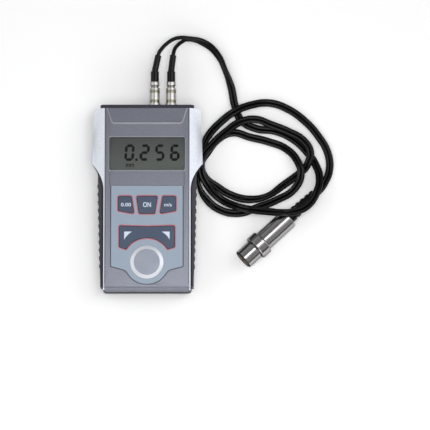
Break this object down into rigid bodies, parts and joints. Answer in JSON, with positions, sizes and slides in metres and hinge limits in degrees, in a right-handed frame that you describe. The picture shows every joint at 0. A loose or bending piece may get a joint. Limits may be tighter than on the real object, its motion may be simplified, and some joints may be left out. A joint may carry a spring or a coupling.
{
  "type": "ultrasonic thickness gauge",
  "caption": "Handheld ultrasonic wall thickness gauge with display, keys, calibration disc and ribbed grips, and a dual-crystal probe on a bonded twin lead with push-pull plugs.",
  "frame": {"origin": "on the resting plane under the middle of the gauge without its lead and probe", "axes": "+Z out of the front panel, +Y towards the sockets, +X to the right seen from the front"},
  "size_m": [0.1566, 0.1705, 0.023],
  "materials": {
    "silver_paint": "satin silver paint",
    "dark_plastic": "fine texture",
    "grip_rubber": "matte",
    "window": "clear",
    "display": "matte grey",
    "backlight": "matte",
    "frame_plastic": "matte",
    "overlay": "matte print",
    "key_plastic": "satin",
    "board": "solder mask",
    "disc_steel": "turned",
    "nickel": "bright nickel",
    "hardware": "zinc",
    "brass": "plain",
    "cell_jacket": "printed film",
    "boot_rubber": "satin",
    "cable_jacket": "gloss",
    "stainless": "turned",
    "delay_plastic": "polished",
    "cork": "cork",
    "damping": "cast"
  },
  "bodies": {
    "case": {"front_shell": "silver_paint", "back_shell": "dark_plastic", "top_plate": "dark_plastic", "grip_left": "grip_rubber", "grip_right": "grip_rubber", "display_window": "window", "display_glass": "display", "display_backlight": "backlight", "display_frame": "frame_plastic", "board_chips": "frame_plastic", "keypad_overlay": "overlay", "main_board": "board", "calibration_disc": "disc_steel", "socket_left": "nickel", "socket_right": "nickel", "plug_core_left": "nickel", "plug_core_right": "nickel", "collet_nut_left": "nickel", "collet_nut_right": "nickel", "board_screws": "hardware", "case_screws": "hardware", "contact_springs": "hardware", "contact_bridge": "hardware", "contact_tabs": "hardware", "switch_domes": "hardware", "socket_nuts": "brass", "crystals": "brass", "battery_cell_left": "cell_jacket", "battery_cell_right": "cell_jacket", "plug_boot_left": "boot_rubber", "plug_boot_right": "boot_rubber", "probe_boot": "boot_rubber", "lead_left": "cable_jacket", "lead_right": "cable_jacket", "twin_cable": "cable_jacket", "probe_housing": "stainless", "probe_nose": "stainless", "delay_lines": "delay_plastic", "acoustic_barrier": "cork", "damping_block": "damping"},
    "zero_key": {"zero_key": "key_plastic"},
    "on_key": {"on_key": "key_plastic"},
    "velocity_key": {"velocity_key": "key_plastic"},
    "arrow_key": {"arrow_key": "key_plastic"},
    "battery_door": {"battery_door": "dark_plastic"},
    "sleeve_left": {"release_sleeve_left": "nickel"},
    "sleeve_right": {"release_sleeve_right": "nickel"}
  },
  "joints": [
    {"name": "zero_press", "type": "slide", "parent": "case", "child": "zero_key", "axis": [0, 0, -1], "range_m": [0, 0.0004], "stiffness_N_per_m": 1500},
    {"name": "on_press", "type": "slide", "parent": "case", "child": "on_key", "axis": [0, 0, -1], "range_m": [0, 0.0004], "stiffness_N_per_m": 1500},
    {"name": "velocity_press", "type": "slide", "parent": "case", "child": "velocity_key", "axis": [0, 0, -1], "range_m": [0, 0.0004], "stiffness_N_per_m": 1500},
    {"name": "arrow_rock", "type": "hinge", "parent": "case", "child": "arrow_key", "pos_m": [0, -0.0236, 0.01885], "axis": [0, 1, 0], "range_deg": [-1, 1], "stiffness_Nm_per_rad": 1.2},
    {"name": "door_slide", "type": "slide", "parent": "case", "child": "battery_door", "axis": [0, -1, 0], "range_m": [0, 0.055]},
    {"name": "sleeve_left_release", "type": "slide", "parent": "case", "child": "sleeve_left", "axis": [0, 1, 0], "range_m": [0, 0.0012], "stiffness_N_per_m": 1500},
    {"name": "sleeve_right_release", "type": "slide", "parent": "case", "child": "sleeve_right", "axis": [0, 1, 0], "range_m": [0, 0.0012], "stiffness_N_per_m": 1500}
  ]
}
